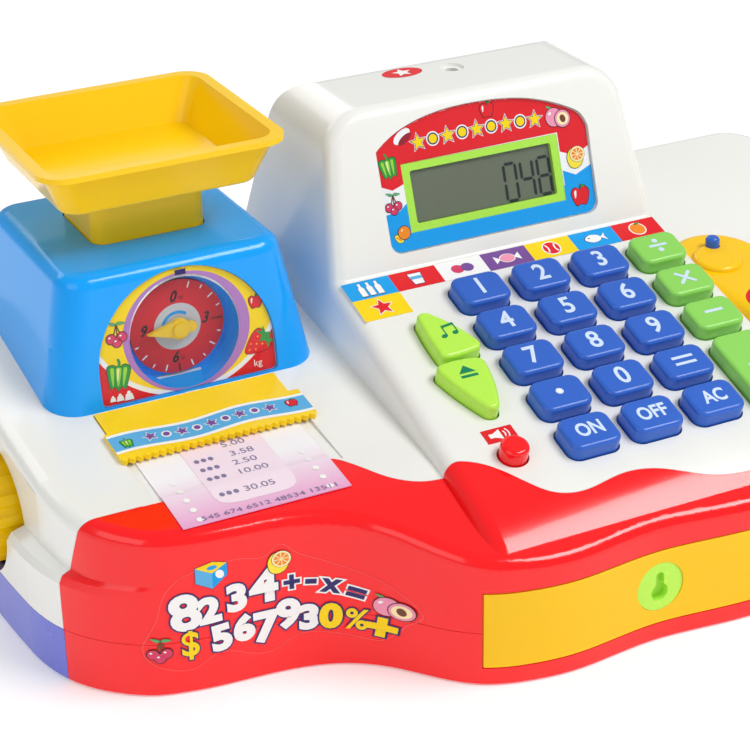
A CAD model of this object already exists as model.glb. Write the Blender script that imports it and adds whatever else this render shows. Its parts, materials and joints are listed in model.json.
import json
from math import atan2, cos, hypot, pi, radians, sin

import bmesh
import bpy
from mathutils import Matrix, Vector
from mathutils.bvhtree import BVHTree


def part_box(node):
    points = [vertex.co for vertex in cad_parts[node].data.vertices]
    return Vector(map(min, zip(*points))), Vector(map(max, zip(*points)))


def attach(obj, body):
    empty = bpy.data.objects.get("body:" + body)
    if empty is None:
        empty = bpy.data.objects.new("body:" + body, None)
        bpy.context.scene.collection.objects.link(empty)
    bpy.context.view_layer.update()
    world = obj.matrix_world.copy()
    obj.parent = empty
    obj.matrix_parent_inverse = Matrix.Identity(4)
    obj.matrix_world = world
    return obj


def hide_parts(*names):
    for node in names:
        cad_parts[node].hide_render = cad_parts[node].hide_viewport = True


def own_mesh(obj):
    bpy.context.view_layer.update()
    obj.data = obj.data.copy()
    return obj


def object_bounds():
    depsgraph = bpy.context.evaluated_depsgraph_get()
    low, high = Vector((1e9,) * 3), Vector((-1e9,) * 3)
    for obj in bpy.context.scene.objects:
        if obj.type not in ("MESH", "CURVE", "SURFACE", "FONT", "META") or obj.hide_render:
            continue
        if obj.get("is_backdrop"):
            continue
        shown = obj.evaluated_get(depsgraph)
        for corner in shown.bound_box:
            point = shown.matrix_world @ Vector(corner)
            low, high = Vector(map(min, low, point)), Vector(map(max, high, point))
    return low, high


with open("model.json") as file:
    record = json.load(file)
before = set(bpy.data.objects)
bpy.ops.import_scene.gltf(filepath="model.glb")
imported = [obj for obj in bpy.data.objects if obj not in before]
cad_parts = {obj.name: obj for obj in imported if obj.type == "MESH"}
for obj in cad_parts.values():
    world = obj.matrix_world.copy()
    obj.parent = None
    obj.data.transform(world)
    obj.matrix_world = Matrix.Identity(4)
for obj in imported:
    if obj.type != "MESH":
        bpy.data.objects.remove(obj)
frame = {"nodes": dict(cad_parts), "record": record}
low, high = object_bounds()
size_before = [list(low), list(high)]
NODES = frame["nodes"]
BODY_OF = {node: body for body, members in frame["record"]["behaviour"]["bodies"].items()
           for node in members}
MM = 0.001
X_AXIS = Vector((1, 0, 0))
UP = Vector((0, 0, 1))
FRONT = Vector((0, -1, 0))
TOWER_FRONT = FRONT + UP * 0.35             # roughly the way the tower's front looks
DECK_UP = Vector((0, -0.13, 0.99))          # across the sloping deck
KEY_UP = Vector((0, -0.2957, 0.9553))       # across the key plane
WHITE = (1.0, 1.0, 1.0, 1.0)

# ------------------------------------------------------------------ materials


def srgb(r, g, b):
    """Linear colour from a screen colour of 0 to 255."""
    def linear(v):
        v /= 255
        return v / 12.92 if v <= 0.04045 else ((v + 0.055) / 1.055) ** 2.4
    return (linear(r), linear(g), linear(b), 1.0)


def start(name):
    material = bpy.data.materials.new(name)
    material.use_nodes = True
    nodes, links = material.node_tree.nodes, material.node_tree.links
    nodes.clear()
    output = nodes.new("ShaderNodeOutputMaterial")
    place = nodes.new("ShaderNodeTexCoord")
    return material, nodes, links, output, place


def noise(nodes, links, place, scale, detail=3.0, stretch=None):
    texture = nodes.new("ShaderNodeTexNoise")
    texture.inputs["Scale"].default_value = scale
    texture.inputs["Detail"].default_value = detail
    source = place.outputs["Object"]
    if stretch:
        mapping = nodes.new("ShaderNodeMapping")
        mapping.inputs["Scale"].default_value = stretch
        links.new(source, mapping.inputs["Vector"])
        source = mapping.outputs["Vector"]
    links.new(source, texture.inputs["Vector"])
    return texture.outputs["Fac"]


def ranged(nodes, links, source, low_value, high_value):
    node = nodes.new("ShaderNodeMapRange")
    node.inputs["From Min"].default_value = 0.3
    node.inputs["From Max"].default_value = 0.7
    node.inputs["To Min"].default_value = low_value
    node.inputs["To Max"].default_value = high_value
    links.new(source, node.inputs["Value"])
    return node.outputs["Result"]


def tinted(nodes, links, source, colour, spread):
    """A colour that drifts a little lighter and darker."""
    mix = nodes.new("ShaderNodeMix")
    mix.data_type = "RGBA"
    mix.inputs["A"].default_value = tuple(c * (1 - spread) for c in colour[:3]) + (1.0,)
    mix.inputs["B"].default_value = tuple(min(1, c * (1 + spread)) for c in colour[:3]) + (1.0,)
    links.new(source, mix.inputs["Factor"])
    return mix.outputs["Result"]


def plastic(name, colour, rough=0.2, coat=0.35, grain=0.012, spread=0.03, sheen=0.5):
    """Moulded plastic: drifting colour, uneven gloss, faint flow waves and fine grain."""
    material, nodes, links, output, place = start(name)
    shader = nodes.new("ShaderNodeBsdfPrincipled")
    drift = noise(nodes, links, place, 18)
    links.new(tinted(nodes, links, drift, colour, spread), shader.inputs["Base Color"])
    wear = noise(nodes, links, place, 90, 5.0)
    links.new(ranged(nodes, links, wear, rough * 0.92, rough * 1.1), shader.inputs["Roughness"])
    shader.inputs["Specular IOR Level"].default_value = sheen
    shader.inputs["Coat Weight"].default_value = coat
    shader.inputs["Coat Roughness"].default_value = 0.06
    flow = nodes.new("ShaderNodeBump")
    flow.inputs["Strength"].default_value = 0.02
    flow.inputs["Distance"].default_value = 0.0004
    links.new(noise(nodes, links, place, 22), flow.inputs["Height"])
    fine = nodes.new("ShaderNodeBump")
    fine.inputs["Strength"].default_value = grain
    fine.inputs["Distance"].default_value = 0.0002
    links.new(noise(nodes, links, place, 1500, 2.0), fine.inputs["Height"])
    links.new(flow.outputs["Normal"], fine.inputs["Normal"])
    links.new(fine.outputs["Normal"], shader.inputs["Normal"])
    links.new(shader.outputs["BSDF"], output.inputs["Surface"])
    return material


def clear(name, tint=(0.97, 0.98, 1.0, 1.0), gloss=0.05):
    """Clear moulded window: see-through with a glossy, slightly wavy face."""
    material, nodes, links, output, place = start(name)
    through = nodes.new("ShaderNodeBsdfTransparent")
    through.inputs["Color"].default_value = tint
    shine = nodes.new("ShaderNodeBsdfGlossy")
    links.new(ranged(nodes, links, noise(nodes, links, place, 60), gloss * 0.6, gloss * 1.6),
              shine.inputs["Roughness"])
    fresnel = nodes.new("ShaderNodeFresnel")
    fresnel.inputs["IOR"].default_value = 1.38
    inside = nodes.new("ShaderNodeNewGeometry")
    outer = nodes.new("ShaderNodeMath")
    outer.operation = "SUBTRACT"
    outer.inputs[0].default_value = 1.0
    links.new(inside.outputs["Backfacing"], outer.inputs[1])
    amount = nodes.new("ShaderNodeMath")
    amount.operation = "MULTIPLY"
    links.new(fresnel.outputs["Fac"], amount.inputs[0])
    links.new(outer.outputs["Value"], amount.inputs[1])
    bump = nodes.new("ShaderNodeBump")
    bump.inputs["Strength"].default_value = 0.04
    bump.inputs["Distance"].default_value = 0.0003
    links.new(noise(nodes, links, place, 25), bump.inputs["Height"])
    links.new(bump.outputs["Normal"], shine.inputs["Normal"])
    links.new(bump.outputs["Normal"], fresnel.inputs["Normal"])
    mix = nodes.new("ShaderNodeMixShader")
    links.new(amount.outputs["Value"], mix.inputs["Fac"])
    links.new(through.outputs["BSDF"], mix.inputs[1])
    links.new(shine.outputs["BSDF"], mix.inputs[2])
    links.new(mix.outputs["Shader"], output.inputs["Surface"])
    return material


def metal(name, colour, rough=0.3):
    material, nodes, links, output, place = start(name)
    shader = nodes.new("ShaderNodeBsdfPrincipled")
    shader.inputs["Metallic"].default_value = 1.0
    links.new(tinted(nodes, links, noise(nodes, links, place, 40), colour, 0.08),
              shader.inputs["Base Color"])
    brush = noise(nodes, links, place, 300, 4.0, (1, 1, 12))
    links.new(ranged(nodes, links, brush, rough * 0.7, rough * 1.3), shader.inputs["Roughness"])
    links.new(shader.outputs["BSDF"], output.inputs["Surface"])
    return material


def printed(name, colour, rough=0.42, spread=0.05):
    """Ink on paper or film: a faint screen grain under a satin face."""
    material, nodes, links, output, place = start(name)
    shader = nodes.new("ShaderNodeBsdfPrincipled")
    dots = noise(nodes, links, place, 900, 2.0)
    links.new(tinted(nodes, links, dots, colour, spread), shader.inputs["Base Color"])
    links.new(ranged(nodes, links, noise(nodes, links, place, 120), rough * 0.85, rough * 1.15),
              shader.inputs["Roughness"])
    shader.inputs["Specular IOR Level"].default_value = 0.3
    links.new(shader.outputs["BSDF"], output.inputs["Surface"])
    return material


def washed_paper(name, near_colour, far_colour, near_y, far_y):
    """Paper whose printed wash fades from one colour to another along the strip."""
    material, nodes, links, output, place = start(name)
    shader = nodes.new("ShaderNodeBsdfPrincipled")
    split = nodes.new("ShaderNodeSeparateXYZ")
    links.new(place.outputs["Object"], split.inputs["Vector"])
    share = nodes.new("ShaderNodeMapRange")
    share.inputs["From Min"].default_value = near_y
    share.inputs["From Max"].default_value = far_y
    links.new(split.outputs["Y"], share.inputs["Value"])
    mix = nodes.new("ShaderNodeMix")
    mix.data_type = "RGBA"
    mix.inputs["A"].default_value = near_colour
    mix.inputs["B"].default_value = far_colour
    links.new(share.outputs["Result"], mix.inputs["Factor"])
    links.new(mix.outputs["Result"], shader.inputs["Base Color"])
    links.new(ranged(nodes, links, noise(nodes, links, place, 200), 0.5, 0.7),
              shader.inputs["Roughness"])
    fibre = nodes.new("ShaderNodeBump")
    fibre.inputs["Strength"].default_value = 0.05
    fibre.inputs["Distance"].default_value = 0.0001
    links.new(noise(nodes, links, place, 700, 4.0), fibre.inputs["Height"])
    links.new(fibre.outputs["Normal"], shader.inputs["Normal"])
    links.new(shader.outputs["BSDF"], output.inputs["Surface"])
    return material


MATERIALS = {
    "white_plastic": plastic("white_plastic", srgb(238, 238, 233), 0.24, 0.3, spread=0.012),
    "red_plastic": plastic("red_plastic", srgb(255, 10, 18), 0.16, 0.3, sheen=0.4),
    "purple_plastic": plastic("purple_plastic", srgb(108, 116, 214), 0.25, 0.2, sheen=0.4),
    "blue_plastic": plastic("blue_plastic", srgb(0, 162, 255), 0.16, 0.15, sheen=0.35),
    "yellow_plastic": plastic("yellow_plastic", srgb(255, 206, 0), 0.2, 0.1, sheen=0.3),
    "drawer_yellow": plastic("drawer_yellow", srgb(250, 196, 0), 0.22, 0.08, sheen=0.3),
    "bar_yellow": plastic("bar_yellow", srgb(255, 214, 10), 0.3, 0.1, sheen=0.35),
    "pointer_yellow": plastic("pointer_yellow", srgb(246, 205, 20), 0.22, 0.3),
    "pod_yellow": plastic("pod_yellow", srgb(252, 200, 4), 0.2, 0.15, sheen=0.35),
    "key_blue": plastic("key_blue", srgb(44, 98, 198), 0.3, 0.1, grain=0.02, sheen=0.4),
    "key_green": plastic("key_green", srgb(140, 212, 92), 0.3, 0.1, grain=0.02, sheen=0.4),
    "lime_plastic": plastic("lime_plastic", srgb(184, 240, 78), 0.27, 0.15, sheen=0.4),
    "clear_plastic": clear("clear_plastic"),
    "printed_card": printed("printed_card", srgb(245, 245, 242)),
    "red_card": printed("red_card", srgb(222, 36, 48)),
    "sticker": printed("sticker", srgb(244, 244, 242)),
    "lcd_glass": plastic("lcd_glass", srgb(108, 114, 92), 0.35, 0.2, spread=0.05),
    "paper": washed_paper("paper", srgb(232, 168, 208), srgb(246, 244, 247), -0.047, -0.026),
    "spring_steel": metal("spring_steel", srgb(190, 190, 195)),
    "cell_steel": metal("cell_steel", srgb(120, 122, 130), 0.35),
    "board_green": plastic("board_green", srgb(30, 110, 60), 0.4, 0.1),
    "grey_rubber": plastic("grey_rubber", srgb(150, 150, 152), 0.6, 0.0, 0.05),
    "black_rubber": plastic("black_rubber", srgb(34, 34, 36), 0.6, 0.0, 0.05),
    "black_plastic": plastic("black_plastic", srgb(30, 30, 32), 0.4, 0.1),
}
for part in frame["record"]["subparts"]:
    node = NODES[part["node"]]
    node.data.materials.clear()
    node.data.materials.append(MATERIALS[part["material_slot"]])

# The spring of the scale, which shortens as the pan goes down.
coil = bpy.data.objects.new("pan_spring", NODES["scale_spring"].data.copy())
bpy.context.scene.collection.objects.link(coil)
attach(coil, BODY_OF["scale_spring"])
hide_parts("scale_spring")
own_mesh(coil)

# ------------------------------------------------------------------ printing kit
LAYER = 0.035 * MM         # height of one layer of ink over the next
FILM = 0.04 * MM           # height of the first layer over the surface it is laid on
SEAM_STEPS = (0, 0.5, -0.5)   # mm up the sheet; rays beside the first one step over seams
SEAM_DEPTH = 0.6 * MM      # a ray that lands this much lower has fallen into a seam
SPLITS = 5                 # most times that a laid shape is cut finer
FAR = 60                   # mm, beyond every edge of a card

INKS = {
    "white": srgb(244, 244, 242), "black": srgb(24, 24, 28), "navy": srgb(46, 38, 104),
    "red": srgb(226, 26, 36), "deep_red": srgb(150, 24, 44), "yellow": srgb(250, 214, 0),
    "lemon": srgb(250, 226, 60), "blue": srgb(0, 158, 232), "sky": srgb(90, 175, 225),
    "green": srgb(40, 150, 60), "lime": srgb(150, 215, 60), "leaf": srgb(90, 170, 110),
    "purple": srgb(120, 76, 150), "lilac": srgb(176, 122, 190), "pink": srgb(240, 150, 178),
    "rose": srgb(214, 60, 100), "orange": srgb(242, 140, 30), "cream": srgb(250, 236, 180),
    "grey": srgb(205, 205, 205), "violet_grey": srgb(132, 124, 160), "brown": srgb(110, 70, 40),
    "teal": srgb(0, 130, 90), "legend": srgb(206, 224, 246), "lcd_dark": srgb(38, 50, 46),
    "film_edge": srgb(255, 88, 88), "pale_blush": srgb(246, 226, 238),
}
ink_materials = {}


def ink(name):
    if name not in ink_materials:
        ink_materials[name] = printed("ink_" + name, INKS[name], 0.36, 0.03)
    return ink_materials[name]


class Place:
    """A flat frame on the object: centre, right, up and out."""

    def __init__(self, centre, out, right=X_AXIS):
        self.centre = Vector(centre)
        self.out = Vector(out).normalized()
        self.right = (right - self.out * right.dot(self.out)).normalized()
        self.up = self.out.cross(self.right)

    def at(self, x, y, height=0.0):
        return self.centre + self.right * x * MM + self.up * y * MM + self.out * height


def flat_face(node, hint):
    """Frame at the middle of a CAD node's outermost flat face that looks along hint."""
    mesh = NODES[node].data
    hint = Vector(hint).normalized()
    faces = [p for p in mesh.polygons if p.normal.dot(hint) > 0.97]
    areas = {}
    for p in faces:
        key = tuple(round(c, 2) for c in p.normal)
        areas[key] = areas.get(key, 0) + p.area
    best = Vector(max(areas, key=areas.get)).normalized()
    faces = [p for p in faces if p.normal.dot(best) > 0.9995]
    reach = max(p.center.dot(best) for p in faces)
    faces = [p for p in faces if p.center.dot(best) > reach - 0.1 * MM]
    out = sum((p.normal * p.area for p in faces), Vector()).normalized()
    place = Place((0, 0, 0), out)
    points = [mesh.vertices[i].co for p in faces for i in p.vertices]
    x = [q.dot(place.right) for q in points]
    y = [q.dot(place.up) for q in points]
    z = max(q.dot(place.out) for q in points)
    place.centre = (place.right * (min(x) + max(x)) / 2 + place.up * (min(y) + max(y)) / 2
                    + place.out * z)
    place.half = ((max(x) - min(x)) / 2 / MM, (max(y) - min(y)) / 2 / MM)
    return place


def smooth(points, steps=6):
    """Closed smooth curve through a few points."""
    out = []
    n = len(points)
    for i in range(n):
        p0, p1, p2, p3 = (Vector(points[(i + k) % n]) for k in (-1, 0, 1, 2))
        for s in range(steps):
            t = s / steps
            out.append(0.5 * (2 * p1 + (p2 - p0) * t + (2 * p0 - 5 * p1 + 4 * p2 - p3) * t * t
                              + (3 * p1 - p0 - 3 * p2 + p3) * t ** 3))
    return [(q.x, q.y) for q in out]


def oval(x, y, rx, ry=None, turn=0.0, count=28):
    ry = rx if ry is None else ry
    c, s = cos(radians(turn)), sin(radians(turn))
    points = []
    for i in range(count):
        a = 2 * pi * i / count
        px, py = rx * cos(a), ry * sin(a)
        points.append((x + px * c - py * s, y + px * s + py * c))
    return points


def box_outline(x0, y0, x1, y1):
    """The corners of an upright rectangle, anticlockwise."""
    return [(x0, y0), (x1, y0), (x1, y1), (x0, y1)]


def stroke(points, width):
    """Polygon around an open line, with flat ends."""
    left, right_side = [], []
    last = len(points) - 1
    for i, (x, y) in enumerate(points):
        x0, y0 = points[max(0, i - 1)]
        x1, y1 = points[min(last, i + 1)]
        length = hypot(x1 - x0, y1 - y0) or 1.0
        nx, ny = -(y1 - y0) / length * width / 2, (x1 - x0) / length * width / 2
        left.append((x + nx, y + ny))
        right_side.append((x - nx, y - ny))
    return left + right_side[::-1]


def arc_line(x, y, radius, start, end, count=16):
    return [(x + radius * cos(radians(start + (end - start) * i / count)),
             y + radius * sin(radians(start + (end - start) * i / count)))
            for i in range(count + 1)]


class Sheet:
    """A set of inked shapes that lie on one frame and move with one body."""

    def __init__(self, name, body, place):
        self.name, self.body, self.place = name, body, place
        self.shapes = []

    def fill(self, points, colour, layer=1):
        self.shapes.append((points, [range(len(points))], colour, layer))
        return self

    def ring(self, outer, inner, colour, layer=1):
        count = len(outer)
        for i in range(count):
            j = (i + 1) % count
            self.fill([outer[i], outer[j], inner[j], inner[i]], colour, layer)
        return self

    def rect(self, x0, y0, x1, y1, colour, layer=1):
        return self.fill(box_outline(x0, y0, x1, y1), colour, layer)

    def text(self, words, x, y, height, colour, layer=1, fat=0.0, turn=0.0, squeeze=1.0,
             slant=0.0):
        """Figures and signs of a plain height, centred on a point and fattened on all sides."""
        curve = bpy.data.curves.new("glyphs", "FONT")
        curve.body = words
        curve.shear = slant
        curve.resolution_u = 4
        holder = bpy.data.objects.new("glyphs", curve)
        mesh = bpy.data.meshes.new_from_object(holder)
        co = [(v.co.x, v.co.y) for v in mesh.vertices]
        x0, x1 = min(p[0] for p in co), max(p[0] for p in co)
        y0, y1 = min(p[1] for p in co), max(p[1] for p in co)
        scale = height / (y1 - y0)
        if fat:
            bpy.data.meshes.remove(mesh)
            curve.offset = fat / scale
            mesh = bpy.data.meshes.new_from_object(holder)
            co = [(v.co.x, v.co.y) for v in mesh.vertices]
        c, s = cos(radians(turn)), sin(radians(turn))
        moved = []
        for px, py in co:
            qx, qy = (px - (x0 + x1) / 2) * scale * squeeze, (py - (y0 + y1) / 2) * scale
            moved.append((x + qx * c - qy * s, y + qx * s + qy * c))
        faces = [tuple(p.vertices) for p in mesh.polygons]
        bpy.data.objects.remove(holder)
        bpy.data.curves.remove(curve)
        bpy.data.meshes.remove(mesh)
        self.shapes.append((moved, faces, colour, layer))
        return self

    def puffy_text(self, words, x, y, height, colour, rim, layer, fat=0.45, edge=0.4, **more):
        self.text(words, x, y, height, rim, layer, fat=fat + edge, **more)
        return self.text(words, x, y, height, colour, layer + 1, fat=fat, **more)

    def build(self, onto=None, reach=20.0, fine=1.2):
        """Makes the mesh; with onto it is laid on those CAD nodes along the frame's normal."""
        mesh = bpy.data.meshes.new(self.name)
        bm = bmesh.new()
        colours = []
        ground = surface_tree(onto) if onto else None
        for shape, faces, colour, layer in self.shapes:
            if colour not in colours:
                colours.append(colour)
            piece = bmesh.new()
            verts = [piece.verts.new((px, py, 0)) for px, py in shape]
            for f in faces:
                piece.faces.new([verts[i] for i in f])
            bmesh.ops.triangulate(piece, faces=piece.faces[:])
            if ground:
                for _ in range(SPLITS):
                    long = [e for e in piece.edges if e.calc_length() > fine]
                    if not long:
                        break
                    bmesh.ops.subdivide_edges(piece, edges=long, cuts=1)
                    bmesh.ops.triangulate(piece, faces=piece.faces[:])
            index = {}
            for v in piece.verts:
                lift = layer * LAYER
                spot = self.place.at(v.co.x, v.co.y, lift)
                if ground:
                    best = None
                    for dy in SEAM_STEPS:
                        top = self.place.at(v.co.x, v.co.y + dy, reach * MM)
                        hit, normal, _, _ = ground.ray_cast(top, -self.place.out, 2 * reach * MM)
                        if hit is not None:
                            height = (hit - self.place.centre).dot(self.place.out)
                            if best is None or height > best[0] + SEAM_DEPTH:
                                best = (height, normal)
                    if best:
                        spot = (self.place.at(v.co.x, v.co.y, best[0])
                                + best[1] * (lift + FILM))
                index[v] = bm.verts.new(spot)
            for f in piece.faces:
                corners = [index[v] for v in f.verts]
                if bm.faces.get(corners):
                    continue
                face = bm.faces.new(corners)
                face.material_index = colours.index(colour)
                face.smooth = bool(ground)
                face.normal_update()
                if face.normal.dot(self.place.out) < 0:
                    face.normal_flip()
            piece.free()
        bm.to_mesh(mesh)
        bm.free()
        for colour in colours:
            mesh.materials.append(ink(colour))
        obj = bpy.data.objects.new(self.name, mesh)
        bpy.context.scene.collection.objects.link(obj)
        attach(obj, self.body)
        return obj


def surface_tree(nodes):
    bm = bmesh.new()
    for node in nodes:
        bm.from_mesh(NODES[node].data)
    tree = BVHTree.FromBMesh(bm)
    bm.free()
    return tree


# ------------------------------------------------------------------ printed artwork


def rotated(points, x, y, turn=0.0, size=1.0):
    c, s = cos(radians(turn)), sin(radians(turn))
    return [(x + (px * c - py * s) * size, y + (px * s + py * c) * size)
            for px, py in points]


def grown(points, amount):
    """The shape scaled about its middle, so that its farthest point moves out by amount."""
    cx = sum(p[0] for p in points) / len(points)
    cy = sum(p[1] for p in points) / len(points)
    reach = max(hypot(px - cx, py - cy) for px, py in points)
    k = 1 + amount / reach
    return [(cx + (px - cx) * k, cy + (py - cy) * k) for px, py in points]


def outlined(sheet, points, fill, layer, rim="black", width=0.07):
    """A shape with a thin dark edge: the edge is the same shape drawn a little larger."""
    sheet.fill(grown(points, width), rim, layer)
    sheet.fill(points, fill, layer + 1)


def puffy(sheet, points, colour, layer, rim="navy", glow="white", grow=0.35):
    """A fat sign with a dark rim and a pale glow."""
    for amount, tone, step in ((2 * grow, glow, 0), (grow, rim, 1), (0, colour, 2)):
        sheet.fill(grown(points, amount), tone, layer + step)


def leaf(sheet, x, y, size, turn, layer, colour="green"):
    shape = smooth(rotated([(0, 0), (0.45, 0.28), (1.0, 0.1), (1.35, -0.1), (0.9, -0.22),
                            (0.4, -0.2)], x, y, turn, size), 4)
    outlined(sheet, shape, colour, layer, width=0.12)


def apple(sheet, x, y, size, colour="red", layer=3, turn=0.0):
    body_shape = smooth(rotated([(0, 0.72), (0.5, 0.95), (0.98, 0.6), (0.95, -0.1), (0.55, -0.88),
                                 (0, -0.8), (-0.55, -0.88), (-0.95, -0.1), (-0.98, 0.6),
                                 (-0.5, 0.95)], x, y, turn, size), 5)
    outlined(sheet, body_shape, colour, layer, width=0.25)
    shine = smooth(rotated([(-0.7, 0.5), (-0.45, 0.66), (-0.5, 0.1), (-0.66, -0.15)],
                           x, y, turn, size), 4)
    sheet.fill(shine, "white", layer + 2)
    sheet.fill(stroke(rotated([(0, 0.7), (0.05, 1.0), (0.2, 1.25)], x, y, turn, size),
                      0.16 * size), "brown", layer + 2)
    leaf(sheet, *rotated([(0.05, 0.95)], x, y, turn, size)[0], 0.5 * size, turn + 15, layer + 2)


def cherries(sheet, x, y, size, layer=3, colour="rose"):
    spots = [(-0.62, -0.5), (0.62, -0.45), (0.0, -0.95)]
    for px, py in spots:
        line = rotated([(0.1, 1.0), (px * 0.5 + 0.1, py * 0.3 + 0.2), (px, py + 0.3)],
                       x, y, 0, size)
        sheet.fill(stroke(line, 0.14 * size), "brown", layer)
    for px, py in spots:
        cx, cy = x + px * size, y + py * size
        outlined(sheet, oval(cx, cy, 0.52 * size), colour, layer + 1, width=0.22)
        sheet.fill(oval(cx - 0.17 * size, cy + 0.18 * size, 0.13 * size, 0.09 * size), "white",
                   layer + 3)
    leaf(sheet, x + 0.1 * size, y + 1.0 * size, 0.75 * size, 5, layer + 2, "leaf")
    leaf(sheet, x + 0.1 * size, y + 1.0 * size, 0.7 * size, 165, layer + 2, "leaf")


def pepper(sheet, x, y, size, layer=3, turn=-8.0):
    shape = smooth(rotated([(-0.95, 0.75), (-0.5, 0.95), (0, 0.8), (0.5, 0.98), (0.98, 0.7),
                            (0.85, -0.2), (0.62, -1.0), (0.3, -0.8), (0.02, -1.15),
                            (-0.25, -0.8), (-0.6, -0.95), (-0.85, -0.1)], x, y, turn, size), 5)
    outlined(sheet, shape, "green", layer, width=0.22)
    for px, wide in ((-0.55, 0.16), (0.0, 0.22), (0.55, 0.16)):
        stripe = smooth(rotated([(px - wide, 0.6), (px, 0.75), (px + wide, 0.6),
                                 (px * 0.85 + wide * 0.6, -0.3), (px * 0.75, -0.8),
                                 (px * 0.85 - wide * 0.6, -0.3)], x, y, turn, size), 4)
        sheet.fill(stripe, "lime", layer + 2)
    shine = smooth(rotated([(-0.12, 0.6), (0.04, 0.6), (0.0, -0.1), (-0.1, -0.3)], x, y, turn,
                            size), 3)
    sheet.fill(shine, "cream", layer + 3)
    stalk = rotated([(0, 0.8), (0.05, 1.15), (-0.1, 1.45)], x, y, turn, size)
    sheet.fill(stroke(stalk, 0.22 * size), "green", layer + 2)


def citrus(sheet, x, y, size, layer=3, turn=0.0):
    whole = smooth(rotated([(-1.0, 0.1), (-0.5, 0.85), (0.4, 0.8), (0.9, 0.1), (0.6, -0.8),
                            (-0.1, -1.15), (-0.8, -0.85)], x, y, turn, size), 5)
    outlined(sheet, whole, "lemon", layer, width=0.22)
    cx, cy = x + 0.22 * size, y + 0.25 * size
    outlined(sheet, oval(cx, cy, 0.86 * size, 0.8 * size), "cream", layer + 2, width=0.1)
    for i in range(8):
        a = radians(45 * i + 10)
        b = radians(45 * i + 45)
        sheet.fill([(cx + 0.1 * size * cos((a + b) / 2), cy + 0.1 * size * sin((a + b) / 2)),
                    (cx + 0.7 * size * cos(a), cy + 0.65 * size * sin(a)),
                    (cx + 0.7 * size * cos(b), cy + 0.65 * size * sin(b))], "orange", layer + 4)


def orange_fruit(sheet, x, y, size, layer=3):
    wedge = smooth([(x - 1.6 * size, y - 0.3 * size), (x - 0.9 * size, y - 0.2 * size),
                    (x - 0.2 * size, y - 0.9 * size), (x - 0.5 * size, y - 1.35 * size),
                    (x - 1.2 * size, y - 1.2 * size)], 5)
    outlined(sheet, wedge, "lemon", layer, width=0.2)
    sheet.fill(stroke([(x - 1.4 * size, y - 0.45 * size), (x - 0.6 * size, y - 1.05 * size)],
                      0.18 * size), "orange", layer + 2)
    outlined(sheet, oval(x, y, 0.95 * size), "orange", layer + 3, width=0.18)
    sheet.fill(oval(x - 0.35 * size, y + 0.4 * size, 0.2 * size, 0.12 * size, 40), "cream",
               layer + 5)


def peaches(sheet, x, y, size, layer=3):
    leaf(sheet, x - 0.1 * size, y + 1.0 * size, 0.6 * size, 160, layer, "leaf")
    outlined(sheet, oval(x, y, 1.02 * size), "pink", layer + 1, width=0.22)
    sheet.fill(oval(x - 0.45 * size, y + 0.45 * size, 0.22 * size, 0.14 * size, 40), "white",
               layer + 3)
    cx, cy = x + 1.05 * size, y - 0.3 * size
    outlined(sheet, oval(cx, cy, 0.95 * size), "pink", layer + 3, width=0.22)
    sheet.fill(oval(cx, cy, 0.74 * size, 0.7 * size), "cream", layer + 5)
    outlined(sheet, oval(cx, cy, 0.32 * size, 0.42 * size, 20), "brown", layer + 6,
             "rose", 0.1)


def strawberry(sheet, x, y, size, layer=3, turn=-60.0):
    shape = smooth(rotated([(-0.8, 0.75), (0, 0.9), (0.8, 0.75), (0.85, 0.1), (0.35, -0.85),
                            (0, -1.15), (-0.35, -0.85), (-0.85, 0.1)], x, y, turn, size), 5)
    outlined(sheet, shape, "red", layer, width=0.2)
    for px, py in ((-0.4, 0.3), (0.3, 0.25), (0, -0.1), (-0.3, -0.45), (0.3, -0.4), (0, -0.8)):
        spot = rotated([(px, py)], x, y, turn, size)[0]
        sheet.fill(oval(*spot, 0.06 * size, 0.06 * size, count=6), "yellow", layer + 2)
    crown = rotated([(0, 1.3), (0.25, 0.95), (0.8, 1.1), (0.55, 0.75), (0.9, 0.4), (0.3, 0.6),
                     (0, 0.2), (-0.3, 0.6), (-0.9, 0.4), (-0.55, 0.75), (-0.8, 1.1),
                     (-0.25, 0.95)], x, y, turn, size)
    sheet.fill(crown, "green", layer + 3)


def star(x, y, size, turn=90.0, inner=0.45):
    points = []
    for i in range(10):
        reach = size if i % 2 == 0 else size * inner
        a = radians(turn + 36 * i)
        points.append((x + reach * cos(a), y + reach * sin(a)))
    return points


def clipped(points, window):
    """The part of a shape inside a convex outline that runs anticlockwise."""
    out = list(points)
    for i in range(len(window)):
        ax, ay = window[i]
        bx, by = window[(i + 1) % len(window)]
        source, out = out, []
        for k in range(len(source)):
            p, q = source[k], source[(k + 1) % len(source)]
            sp = (bx - ax) * (p[1] - ay) - (by - ay) * (p[0] - ax)
            sq = (bx - ax) * (q[1] - ay) - (by - ay) * (q[0] - ax)
            if sp >= 0:
                out.append(p)
            if (sp >= 0) != (sq >= 0):
                t = sp / (sp - sq)
                out.append((p[0] + (q[0] - p[0]) * t, p[1] + (q[1] - p[1]) * t))
        if not out:
            return []
    return out


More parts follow.
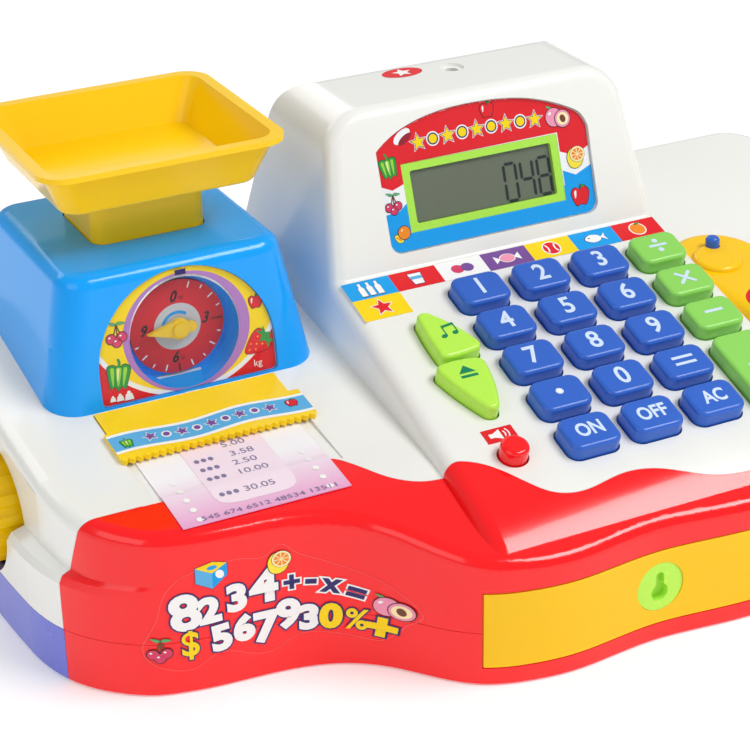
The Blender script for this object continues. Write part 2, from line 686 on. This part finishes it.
def window_of(node, place, inset=0.15):
    """Convex outline of a CAD node seen along a frame, moved inwards a little."""
    mesh = NODES[node].data
    flat = []
    for v in mesh.vertices:
        offset = v.co - place.centre
        if abs(offset.dot(place.out)) < 0.2 * MM:
            flat.append((round(offset.dot(place.right) / MM, 3),
                         round(offset.dot(place.up) / MM, 3)))
    flat = sorted(set(flat))
    hull = []
    for ordered in (flat, flat[::-1]):
        part = []
        for p in ordered:
            while len(part) > 1 and ((part[-1][0] - part[-2][0]) * (p[1] - part[-2][1])
                                     - (part[-1][1] - part[-2][1]) * (p[0] - part[-2][0])) <= 0:
                part.pop()
            part.append(p)
        hull += part[:-1]
    cx = sum(p[0] for p in hull) / len(hull)
    cy = sum(p[1] for p in hull) / len(hull)
    shrink = 1 - inset / 30
    return [(cx + (px - cx) * shrink, cy + (py - cy) * shrink) for px, py in hull]


def key_print(key):
    """A blank print on the top of a key."""
    return Sheet("legend_" + key, BODY_OF[key], flat_face(key, KEY_UP))


# Legends of the keys.
LEGENDS = {"key_%d" % n: str(n) for n in range(10)}
LEGENDS.update({"key_on": "ON", "key_off": "OFF", "key_ac": "AC"})
for key, words in LEGENDS.items():
    sheet = key_print(key)
    if len(words) == 1:
        sheet.text(words, -0.2, 0.4, 6.4, "legend", fat=0.18, squeeze=0.9)
    else:
        sheet.text(words, 0, 0.2, 4.6, "legend", fat=0.2, squeeze=0.8)
    sheet.build()
dot = key_print("key_dot")
dot.fill(oval(-0.4, 0.2, 1.15), "legend", 1).fill(oval(-0.4, 0.2, 0.75), "white", 2).build()
equals = key_print("key_equals")
equals.rect(-3.4, 0.9, 3.4, 1.9, "legend").rect(-3.4, -1.6, 3.4, -0.6, "legend").build()
divide = key_print("key_divide")
divide.rect(-3.0, -0.2, 3.0, 0.8, "legend")
divide.fill(oval(0, 2.4, 0.9), "legend").fill(oval(0, -1.8, 0.9), "legend").build()
times = key_print("key_times")
times.fill(stroke([(-2.5, -2.1), (2.5, 2.7)], 1.05), "legend", 1)
times.fill(stroke([(-2.5, 2.7), (2.5, -2.1)], 1.05), "legend", 2).build()
minus = key_print("key_minus")
minus.rect(-3.0, -0.2, 3.0, 0.85, "legend").build()
plus = key_print("key_plus")
plus.rect(-3.2, -0.5, 3.2, 0.55, "legend", 1).rect(-0.53, -3.2, 0.53, 3.2, "legend", 2).build()

# A note on the sound key, an opening arrow on the drawer key.
sound = key_print("key_sound")
sound.fill(oval(-2.1, -1.9, 1.0, 0.75, 20), "teal").fill(oval(1.6, -1.3, 1.0, 0.75, 20), "teal")
sound.rect(-1.45, -1.9, -1.1, 2.1, "teal", 2).rect(2.2, -1.3, 2.55, 2.7, "teal", 2)
sound.fill([(-1.45, 1.3), (2.55, 1.9), (2.55, 2.8), (-1.45, 2.2)], "teal", 3).build()
opens = key_print("key_open")
opens.fill([(-2.6, 4.2), (2.6, 4.2), (0, 7.2)], "teal", 1)
opens.rect(-2.6, 2.4, 2.6, 3.4, "teal", 1).build()

# Tiles of the label strip.
labels = Sheet("label_print", "case", flat_face("label_strip", KEY_UP))
half_x, half_y = labels.place.half
tile = 2 * half_x / 7
row = half_y - 7.7
TILES = ["blue", "red", "white", "purple", "yellow", "blue", "red"]
for i, colour in enumerate(TILES):
    x0 = -half_x + i * tile
    labels.rect(x0, row, x0 + tile, half_y, colour, 1)
labels.rect(-half_x, -half_y, -half_x + tile, row, "yellow", 1)
middle_y = (row + half_y) / 2


def tile_x(i):
    return -half_x + (i + 0.5) * tile


bottle = [(-0.9, -2.8), (0.9, -2.8), (0.9, 0.6), (0.4, 1.4), (0.4, 2.8), (-0.4, 2.8),
          (-0.4, 1.4), (-0.9, 0.6)]
for shift in (-2.6, 0, 2.6):
    outlined(labels, [(tile_x(0) + shift + px, middle_y + py) for px, py in bottle], "white", 2,
             "navy", 0.3)
cup = [(-1.5, -2.4), (1.5, -2.4), (2.1, 2.2), (-2.1, 2.2)]
outlined(labels, [(tile_x(1) + px, middle_y + py) for px, py in cup], "white", 2, "navy",
         0.3)
labels.rect(tile_x(1) - 1.8, middle_y - 0.3, tile_x(1) + 1.8, middle_y + 1.0, "sky", 4)
labels.fill(oval(tile_x(2) - 1.6, middle_y, 2.0, 1.8), "rose", 2)
labels.fill(oval(tile_x(2) + 1.6, middle_y, 2.0, 1.8), "purple", 3)
outlined(labels, oval(tile_x(3), middle_y, 2.3, 1.7), "pink", 2, "white", 0.3)
for side in (1, -1):
    labels.fill([(tile_x(3) + side * 2.2, middle_y), (tile_x(3) + side * 4.2, middle_y + 1.7),
                 (tile_x(3) + side * 4.2, middle_y - 1.7)], "white", 2)
outlined(labels, oval(tile_x(4), middle_y, 2.6), "red", 2, "white", 0.4)
labels.fill(stroke(arc_line(tile_x(4) - 4.1, middle_y, 3.0, -34, 34), 0.5), "white", 4)
labels.fill(stroke(arc_line(tile_x(4) + 4.1, middle_y, 3.0, 146, 214), 0.5), "white", 4)
fish = smooth([(-3.4, 0), (-1.4, 1.7), (1.2, 1.3), (2.2, 0.3), (3.8, 1.6), (3.4, 0), (3.8, -1.6),
               (2.2, -0.3), (1.2, -1.3), (-1.4, -1.7)], 4)
outlined(labels, [(tile_x(5) + px, middle_y + py) for px, py in fish], "white", 2, "navy",
         0.3)
labels.fill(oval(tile_x(5) - 1.9, middle_y + 0.4, 0.3, count=8), "navy", 4)
outlined(labels, oval(tile_x(6), middle_y, 2.4), "orange", 2, "white", 0.4)
leaf(labels, tile_x(6), middle_y + 2.0, 1.5, 20, 4)
star_x, star_y = -half_x + tile / 2, (row - half_y) / 2
labels.fill(star(star_x, star_y, 3.9), "white", 2).fill(star(star_x, star_y, 3.3), "red", 3)
labels.build()

# Red tile above the round red key, with a small speech horn.
console_front = flat_face("key_mic", KEY_UP)
tag_place = Place(console_front.centre - console_front.out * 4.55 * MM, console_front.out)
tag = Sheet("voice_tag", "case", tag_place)
tag.rect(-4.2, 5.9, 5.2, 11.1, "red", 1)
tag.rect(-2.6, 7.7, -1.2, 9.3, "white", 2)
tag.fill([(-1.2, 7.7), (1.0, 6.6), (1.0, 10.4), (-1.2, 9.3)], "white", 2)
for radius in (1.6, 2.7):
    tag.fill(stroke(arc_line(0.6, 8.5, radius, -38, 38, 8), 0.4), "white", 2)
tag.build(onto=["top_cover"], reach=6, fine=3)

# Display card under its window.
card = Sheet("display_print", "case", flat_face("display_card", TOWER_FRONT))
edge = window_of("display_card", card.place)
bezel_low, bezel_high = (Vector(v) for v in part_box("display_bezel"))
bezel_mid = (bezel_low + bezel_high) / 2 - card.place.centre
hole_x0 = (bezel_low.x - card.place.centre.x) / MM + 0.35
hole_x1 = (bezel_high.x - card.place.centre.x) / MM - 0.35
hole_y = bezel_mid.dot(card.place.up) / MM
hole_half = (hole_x1 - hole_x0) / 2 - 16.1


def around_opening(shape, colour, layer):
    """Fills a shape on the card in four strips that leave the bezel's opening free."""
    x0, x1, y0, y1 = hole_x0, hole_x1, hole_y - hole_half, hole_y + hole_half
    for zone in ((-FAR, -FAR, x0, FAR), (x1, -FAR, FAR, FAR), (x0, y1, x1, FAR),
                 (x0, -FAR, x1, y0)):
        piece = clipped(clipped(shape, edge), box_outline(*zone))
        if len(piece) > 2:
            card.fill(piece, colour, layer)


for shape, colour in ((
        [(-40, -0.2), (-36, 0.9), (-31.4, -1.2), (-27, 0.2), (-27, 6), (25, 6), (25, 0.2),
         (30, -1.8), (35.5, 0.8), (40, 1.5), (40, 30), (-40, 30)], "red"), (
        [(-40, -8.5), (-35.5, -8.0), (-30, -7.4), (-27, -5.2), (-27, -10), (25, -10), (25, -5.5),
         (29.2, -7.5), (35.4, -5.0), (40, -4), (40, -30), (-40, -30)], "blue")):
    around_opening(shape, colour, 2)
around_opening(box_outline(-FAR, -FAR, FAR, FAR), "white", 1)

for i in range(9):
    share = i / 8 - 0.5
    x, y = 39.0 * share - 1.4, 11.6 - 2.0 * share * share
    shape = star(x, y, 2.3, 90 - 10 * share) if i % 2 == 0 else oval(x, y, 1.35)
    puffy(card, shape, "yellow", 3, "navy", "white", 0.4)
pepper(card, -31.6, 5.4, 2.9, 3, 6)
cherries(card, -31.9, -4.8, 2.3, 3)
orange_fruit(card, -29.9, -13.8, 2.0, 3)
card.fill(clipped(oval(-25.8, 13.6, 3.2, 1.6, 32), edge), "white", 3)
card.fill(clipped(oval(-25.0, 12.7, 2.6, 1.0, 32), edge), "deep_red", 4)
apple(card, 2.8, 16.4, 2.2, "red", 3)
peaches(card, 24.6, 10.6, 2.7, 3)
citrus(card, 30.0, -2.2, 2.9, 3)
apple(card, 29.7, -14.1, 2.9, "red", 3)
card.build()

# Digits of the liquid crystal display.
SEGMENTS = {"0": "abcdef", "4": "bcfg", "8": "abcdefg"}
glass = Sheet("lcd_digits", "case", flat_face("lcd_panel", TOWER_FRONT))
digit_w, digit_h, bar = 3.9, 11.0, 0.95
for digit, x in (("0", 9.4), ("4", 15.1), ("8", 20.8)):
    left_x, right_x = x - digit_w / 2, x + digit_w / 2
    base_y = -1.6 - digit_h / 2
    mid_y, top_y = base_y + digit_h / 2, base_y + digit_h
    gap = 0.2
    spans = {"a": ((left_x + gap, top_y), (right_x - gap, top_y)),
             "d": ((left_x + gap, base_y), (right_x - gap, base_y)),
             "g": ((left_x + gap, mid_y), (right_x - gap, mid_y)),
             "f": ((left_x, mid_y + gap), (left_x, top_y - gap)),
             "b": ((right_x, mid_y + gap), (right_x, top_y - gap)),
             "e": ((left_x, base_y + gap), (left_x, mid_y - gap)),
             "c": ((right_x, base_y + gap), (right_x, mid_y - gap))}
    for segment in SEGMENTS[digit]:
        (ax, ay), (bx, by) = spans[segment]
        half = bar / 2
        if ay == by:
            glass.fill([(ax, ay), (ax + half, ay - half), (bx - half, by - half), (bx, by),
                        (bx - half, by + half), (ax + half, ay + half)], "lcd_dark")
        else:
            glass.fill([(ax, ay), (ax + half, ay + half), (bx + half, by - half), (bx, by),
                        (bx - half, by - half), (ax - half, ay + half)], "lcd_dark")
glass.build()

# Card, ring and dial of the scale.
dial_card = Sheet("scale_card_print", "case", flat_face("dial_card", FRONT))
window = window_of("dial_card", dial_card.place)
centre = dial_card.place
dial = flat_face("dial_face", FRONT)
well = dial.centre - centre.centre
cx, cy = well.dot(centre.right) / MM, well.dot(centre.up) / MM
WELL = 16.25               # mm, radius of the round well in the card
FAN = 64                   # pieces around the well


def around_well(shape, colour, layer):
    """Fills a shape cut to the card, as fan pieces that leave the round well open."""
    for i in range(FAN):
        a0, a1 = 2 * pi * i / FAN, 2 * pi * (i + 1) / FAN
        wedge = [(cx + reach * cos(a), cy + reach * sin(a))
                 for reach, a in ((WELL, a0), (FAR, a0), (FAR, a1), (WELL, a1))]
        piece = clipped(wedge, shape)
        piece = clipped(piece, window) if len(piece) > 2 else []
        if len(piece) > 2:
            dial_card.fill(piece, colour, layer)


around_well(box_outline(cx - FAR, cy - FAR, cx + FAR, cy + FAR), "red", 1)
around_well(oval(cx + 0.5, cy + 12.0, 30.4, 30.0, count=72), "white", 2)
around_well(oval(cx + 0.5, cy + 12.0, 29.0, 28.6, count=72), "yellow", 3)
around_well(oval(cx + 0.6, cy, 18.8, 17.0, count=72), "lilac", 4)
cherries(dial_card, cx - 19.8, cy + 3.6, 2.6, 5)
pepper(dial_card, cx - 20.6, cy - 8.6, 3.5, 5)
apple(dial_card, cx + 21.6, cy + 4.0, 1.9, "red", 5)
strawberry(dial_card, cx + 21.0, cy - 8.0, 3.8, 5)
dial_card.text("kg", cx + 20.6, cy - 14.0, 2.6, "white", 5)
weight = [(-1.8, -1.6), (1.8, -1.6), (1.2, 0.8), (-1.2, 0.8)]
weight_y = cy - 14.6
for shift, size in ((-22.9, 0.5), (-20.8, 0.62), (-18.2, 0.76)):
    dial_card.fill([(cx + shift + px * size, weight_y + py * size) for px, py in weight],
                   "white", 5)
    dial_card.fill(oval(cx + shift, weight_y + 1.2 * size, 0.7 * size), "white", 6)
dial_card.build()

# Blue floor of the dial's well, where the housing is open above the deck.
dial_low, dial_high = (Vector(v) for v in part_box("dial_face"))
floor_place = Place(((dial_low.x + dial_high.x) / 2, dial_low.y - 4.2 * MM, dial_low.z), DECK_UP)
well_floor = Sheet("well_floor_print", "case", floor_place)
well_floor.rect(-12, -4, 12, 4, "blue", 1).rect(-6, -4.9, 6, -4, "blue", 1)
well_floor.build(onto=["top_cover"], reach=30, fine=2.0)

# Dial: twenty marks, every fifth one black and long, with a figure beside it.
face = Sheet("dial_print", "case", dial)
MARKS = 20
for i in range(MARKS):
    a = 90 - 360 / MARKS * i
    black = i % 5 == 0
    if a > 80 or a < -172:
        continue
    inner, outer, wide = (12.4, 13.5, 0.4)
    if black:
        inner, outer, wide = (11.3, 13.6, 0.45)
    elif i % 2:
        inner = 11.6
    ray = [(r * cos(radians(a)), r * sin(radians(a))) for r in (inner, outer)]
    face.fill(stroke(ray, wide), "black" if black else "white", 1)
for number, a in (("0", 90), ("3", 6), ("6", -92), ("9", 176)):
    x, y = 9.2 * cos(radians(a)), 9.2 * sin(radians(a))
    face.text(number, x - 0.6, y, 3.2, "black", 1, fat=0.14, slant=0.35, squeeze=0.85)
    face.text("kg", x + 1.5, y - 0.7, 1.4, "black", 1, slant=0.35)
face.fill(oval(0, 0, 7.0, count=48), "grey", 1)
face.fill(stroke(arc_line(0, 0, 4.3, 50, 205, 24), 0.9), "blue", 2)
face.build()
notch = Sheet("lens_clip", "case", flat_face("dial_window", FRONT))
top_y = notch.place.half[1]
notch.rect(-1.6, top_y - 1.6, 1.6, top_y - 0.1, "navy", 1)
notch.build()

# Ribbon on the tear bar.
bar_sheet = Sheet("tear_bar_print", "case", flat_face("tear_bar", DECK_UP))
bx, by = bar_sheet.place.half
RIBBON_STEPS = 40
WAVE_HEIGHT, WAVE_COUNT, WAVE_START = 0.75, 1.7, 0.6


def ribbon(offset):
    """Points of a wavy line along the bar."""
    return [(-bx + 2 * bx * i / RIBBON_STEPS,
             offset + WAVE_HEIGHT * sin(2 * pi * i / RIBBON_STEPS * WAVE_COUNT + WAVE_START))
            for i in range(RIBBON_STEPS + 1)]


for low_edge, high_edge, colour, layer in ((-3.6, 5.2, "white", 1), (-2.5, 4.1, "sky", 2)):
    lower, upper = ribbon(low_edge), ribbon(high_edge)
    for i in range(RIBBON_STEPS):
        foot = [(x, max(y, -by)) for x, y in lower[i:i + 2]]
        head = [(x, min(y, by)) for x, y in upper[i:i + 2]]
        bar_sheet.fill(foot + head[::-1], colour, layer)
pepper(bar_sheet, -bx + 4.2, 0.6, 1.7, 3, 0)
apple(bar_sheet, bx - 4.6, 0.9, 1.6, "red", 3)
for i in range(9):
    x = -17.5 + 35 * i / 8
    y = 0.9 + WAVE_HEIGHT * sin(2 * pi * (x + bx) / (2 * bx) * WAVE_COUNT + WAVE_START)
    shape = star(x, y, 1.9, 100) if i % 2 == 0 else oval(x, y, 0.95, count=14)
    puffy(bar_sheet, shape, "purple", 3, "white", "white", 0.25)
bar_sheet.build()

# Receipt: a rounded pale panel, rows of figures and dots down both edges.
sheet_low, sheet_high = (Vector(v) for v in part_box("receipt_paper"))
receipt_place = Place(((sheet_low.x + sheet_high.x) / 2, sheet_low.y, sheet_low.z), DECK_UP)
receipt = Sheet("receipt_print", "case", receipt_place)
panel = [(-11.5, 36), (-11.5, 9.5), (-10.6, 7.0), (-8.4, 5.8), (-6, 5.4), (6.5, 5.4), (9.6, 6.0),
         (11.2, 7.6), (11.8, 10.2), (11.8, 36)]
receipt.fill(panel, "pale_blush", 1)
for i in range(5):
    for x in (-18.4, 18.5):
        receipt.fill(oval(x, 2.4 + 4.4 * i, 0.95), "white", 2)
for words, x, y, high in (("545 674 6512 48534 13511", 1.2, 2.4, 1.7), ("30.05", 1.6, 10.0, 2.3),
                          ("10.00", 3.6, 18.0, 2.3), ("2.50", 3.0, 22.6, 2.3),
                          ("3.58", 4.0, 26.9, 2.3), ("5.00", 3.4, 31.6, 2.3)):
    receipt.text(words, x, y, high, "violet_grey", 3, squeeze=1.25 if high > 2 else 1.45)
for y in (10.0, 18.0, 22.6, 26.9):
    for x in (-9.0, -7.0, -5.0):
        receipt.fill(oval(x, y, 0.75, 0.9, count=10), "violet_grey", 3)
receipt.build(onto=["receipt_paper"], reach=8, fine=3.0)

# Sticker round the front, laid over the seam between the two red mouldings.
sticker = Sheet("front_sticker", "case", Place((0, -0.07, 0), FRONT))
film = smooth([(-132, 15), (-128.5, 23), (-126, 31), (-120, 36), (-108, 37.8), (-100, 36.6),
               (-95, 39.5), (-90, 35.6), (-80, 31), (-70, 26), (-63.6, 19), (-66.5, 14.5),
               (-71.5, 8.6), (-80, 10), (-90, 11.4), (-100, 7.4), (-112, 11), (-120, 7.2),
               (-129, 9.5)], 5)
for i in range(len(film)):
    sticker.fill(stroke([film[i], film[(i + 1) % len(film)]], 0.22), "film_edge", 1)
for words, x, y, high, tilt in (("8", -121.2, 24.8, 10.0, 8), ("2", -114.8, 24.4, 7.0, 4),
                                ("3", -107.4, 26.4, 7.4, 2), ("4", -100.0, 28.2, 9.2, 0),
                                ("5", -112.0, 15.4, 7.0, 6), ("6", -105.8, 16.7, 7.0, 4),
                                ("7", -99.6, 15.6, 8.4, 0), ("9", -93.6, 18.2, 8.0, 0),
                                ("3", -88.2, 16.1, 6.8, -2)):
    sticker.puffy_text(words, x, y, high, "white", "navy", 3, 0.6, 0.42, turn=tilt, squeeze=1.1)
for words, x, y, high, tilt in (("$", -120.2, 14.8, 8.4, 0), ("0", -82.7, 15.8, 6.8, -4),
                                ("%", -76.6, 14.7, 6.0, -6), ("+", -71.4, 12.8, 5.0, -8)):
    thin = words in "$%"
    sticker.puffy_text(words, x, y, high, "yellow", "navy", 5, 0.2 if thin else 0.55,
                       0.35 if thin else 0.42, turn=tilt, squeeze=0.9 if thin else 1.08)
for words, x, y, high, tilt in (("+", -92.4, 27.6, 3.8, 0), ("-", -87.4, 26.9, 0.9, -6),
                                ("x", -82.4, 25.0, 3.6, -12), ("=", -76.6, 22.8, 2.4, -18)):
    sticker.puffy_text(words, x, y, high, "navy", "white", 3, 0.3, 0.45, turn=tilt)
box_sides = {"sky": [(-118, 33.0), (-113.6, 30.6), (-113.6, 35.2), (-118, 37.4)],
             "blue": [(-113.6, 30.6), (-109.6, 34.0), (-109.6, 37.6), (-113.6, 35.2)],
             "yellow": [(-118, 37.4), (-113.6, 35.2), (-109.6, 37.6), (-113.4, 38.6)]}
for colour, shape in box_sides.items():
    outlined(sticker, shape, colour, 3, "navy", 0.25)
sticker.fill(oval(-113.6, 36.9, 1.4, 0.6, 5), "blue", 5)
sticker.fill(oval(-111.6, 34.6, 1.1, 1.3, 30), "white", 5)
citrus(sticker, -95.6, 34.4, 3.0, 6)
cherries(sticker, -128.0, 14.6, 2.7, 6)
peaches(sticker, -70.2, 19.4, 2.7, 6)
sticker.build(onto=["front_fascia", "front_skirt"], reach=35, fine=2.0)

# Small badge on the tower and an arched sticker on the scanner.
badge = Sheet("tower_badge", "case", Place((0, 0.0572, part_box("top_cover")[1][2]), UP))
badge.fill(oval(-1.3, 0, 6.5, 3.9, 0, 36), "red", 1)
badge.fill(star(-1.3, 0, 3.2), "white", 2)
badge.build(onto=["top_cover"], reach=10, fine=3)
pod_print = Sheet("scanner_print", "case",
                  Place((0.084, -0.024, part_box("scanner_pod")[1][2]), DECK_UP))
pod_print.ring(oval(0, 0, 13.0, 8.2, count=40), oval(0, 0, 9.5, 5.0, count=40), "red", 1)
pod_print.fill(oval(0, 0, 9.5, 5.0, count=40), "lemon", 1)
pod_print.fill(star(0, 0, 3.6), "navy", 2)
pod_print.build(onto=["scanner_pod"], reach=20, fine=2)


# ------------------------------------------------------------------ stage, light, camera


def plane_mesh(name, corners, material):
    mesh = bpy.data.meshes.new(name)
    mesh.from_pydata(corners, [], [tuple(range(len(corners)))])
    obj = bpy.data.objects.new(name, mesh)
    bpy.context.scene.collection.objects.link(obj)
    mesh.materials.append(material)
    return obj


FLOOR_GLOW = 0.22          # lifts the floor to white around the object
FLOOR_SPAN = 4.0           # m, half the side of the floor
AMBIENT, BACKDROP = 0.42, 0.62   # light of the studio, and its brightness as seen

floor_paint = printed("floor_paint", (0.93, 0.93, 0.935, 1.0), 0.5, 0.004)
floor_shader = floor_paint.node_tree.nodes["Principled BSDF"]
floor_shader.inputs["Emission Color"].default_value = WHITE
floor_shader.inputs["Emission Strength"].default_value = FLOOR_GLOW
floor = plane_mesh("floor", [(x * FLOOR_SPAN, y * FLOOR_SPAN, 0)
                             for x, y in ((-1, -1), (1, -1), (1, 1), (-1, 1))], floor_paint)
floor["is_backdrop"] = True

# White studio: even light on the object, and a backdrop as bright as the far floor.
world = bpy.data.worlds.new("studio")
world.use_nodes = True
world_nodes, world_links = world.node_tree.nodes, world.node_tree.links
ambient = world_nodes["Background"]
backdrop = world_nodes.new("ShaderNodeBackground")
for node, strength in ((ambient, AMBIENT), (backdrop, BACKDROP)):
    node.inputs["Color"].default_value = WHITE
    node.inputs["Strength"].default_value = strength
rays = world_nodes.new("ShaderNodeLightPath")
seen = world_nodes.new("ShaderNodeMixShader")
world_links.new(rays.outputs["Is Camera Ray"], seen.inputs["Fac"])
world_links.new(ambient.outputs["Background"], seen.inputs[1])
world_links.new(backdrop.outputs["Background"], seen.inputs[2])
world_links.new(seen.outputs["Shader"], world_nodes["World Output"].inputs["Surface"])
bpy.context.scene.world = world


def soft_box(name, place, target, width, height, power):
    """A large flat studio lamp aimed at a point."""
    lamp = bpy.data.lights.new(name, "AREA")
    lamp.shape = "RECTANGLE"
    lamp.size, lamp.size_y = width, height
    lamp.energy = power
    obj = bpy.data.objects.new(name, lamp)
    obj.location = place
    obj.rotation_euler = (Vector(target) - Vector(place)).to_track_quat("-Z", "Y").to_euler()
    bpy.context.scene.collection.objects.link(obj)
    obj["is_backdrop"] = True


middle = (Vector(size_before[0]) + Vector(size_before[1])) / 2
soft_box("key_light", middle + Vector((0.40, -0.42, 0.78)), middle, 0.6, 0.3, 6.2)
soft_box("fill_light", middle + Vector((-0.9, -0.5, 0.5)), middle, 0.7, 0.7, 2.2)
soft_box("back_light", middle + Vector((-0.2, 0.9, 0.7)), middle, 1.2, 0.4, 3.0)

# The camera looks down at the front left of the register.
CAMERA_SPOT = (-0.29248, -0.50976, 0.33536)
CAMERA_LENS, CAMERA_SENSOR = 107.45, 36.0        # mm
azimuth, elevation, roll = radians(26.301), radians(26.507), radians(-1.1245)
forward = Vector((sin(azimuth) * cos(elevation), cos(azimuth) * cos(elevation),
                  -sin(elevation)))
right0 = Vector((cos(azimuth), -sin(azimuth), 0))
up0 = right0.cross(forward)
right = right0 * cos(roll) + up0 * sin(roll)
up = up0 * cos(roll) - right0 * sin(roll)
camera_data = bpy.data.cameras.new("camera")
camera_data.lens = CAMERA_LENS
camera_data.sensor_width = CAMERA_SENSOR
camera_data.clip_start, camera_data.clip_end = 0.02, 20.0
camera = bpy.data.objects.new("camera", camera_data)
turn = Matrix((right, up, -forward)).transposed().to_4x4()
camera.matrix_world = Matrix.Translation(CAMERA_SPOT) @ turn
bpy.context.scene.collection.objects.link(camera)
bpy.context.scene.camera = camera
bpy.context.scene.view_settings.view_transform = "Standard"

# ------------------------------------------------------------------ hand-in
low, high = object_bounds()
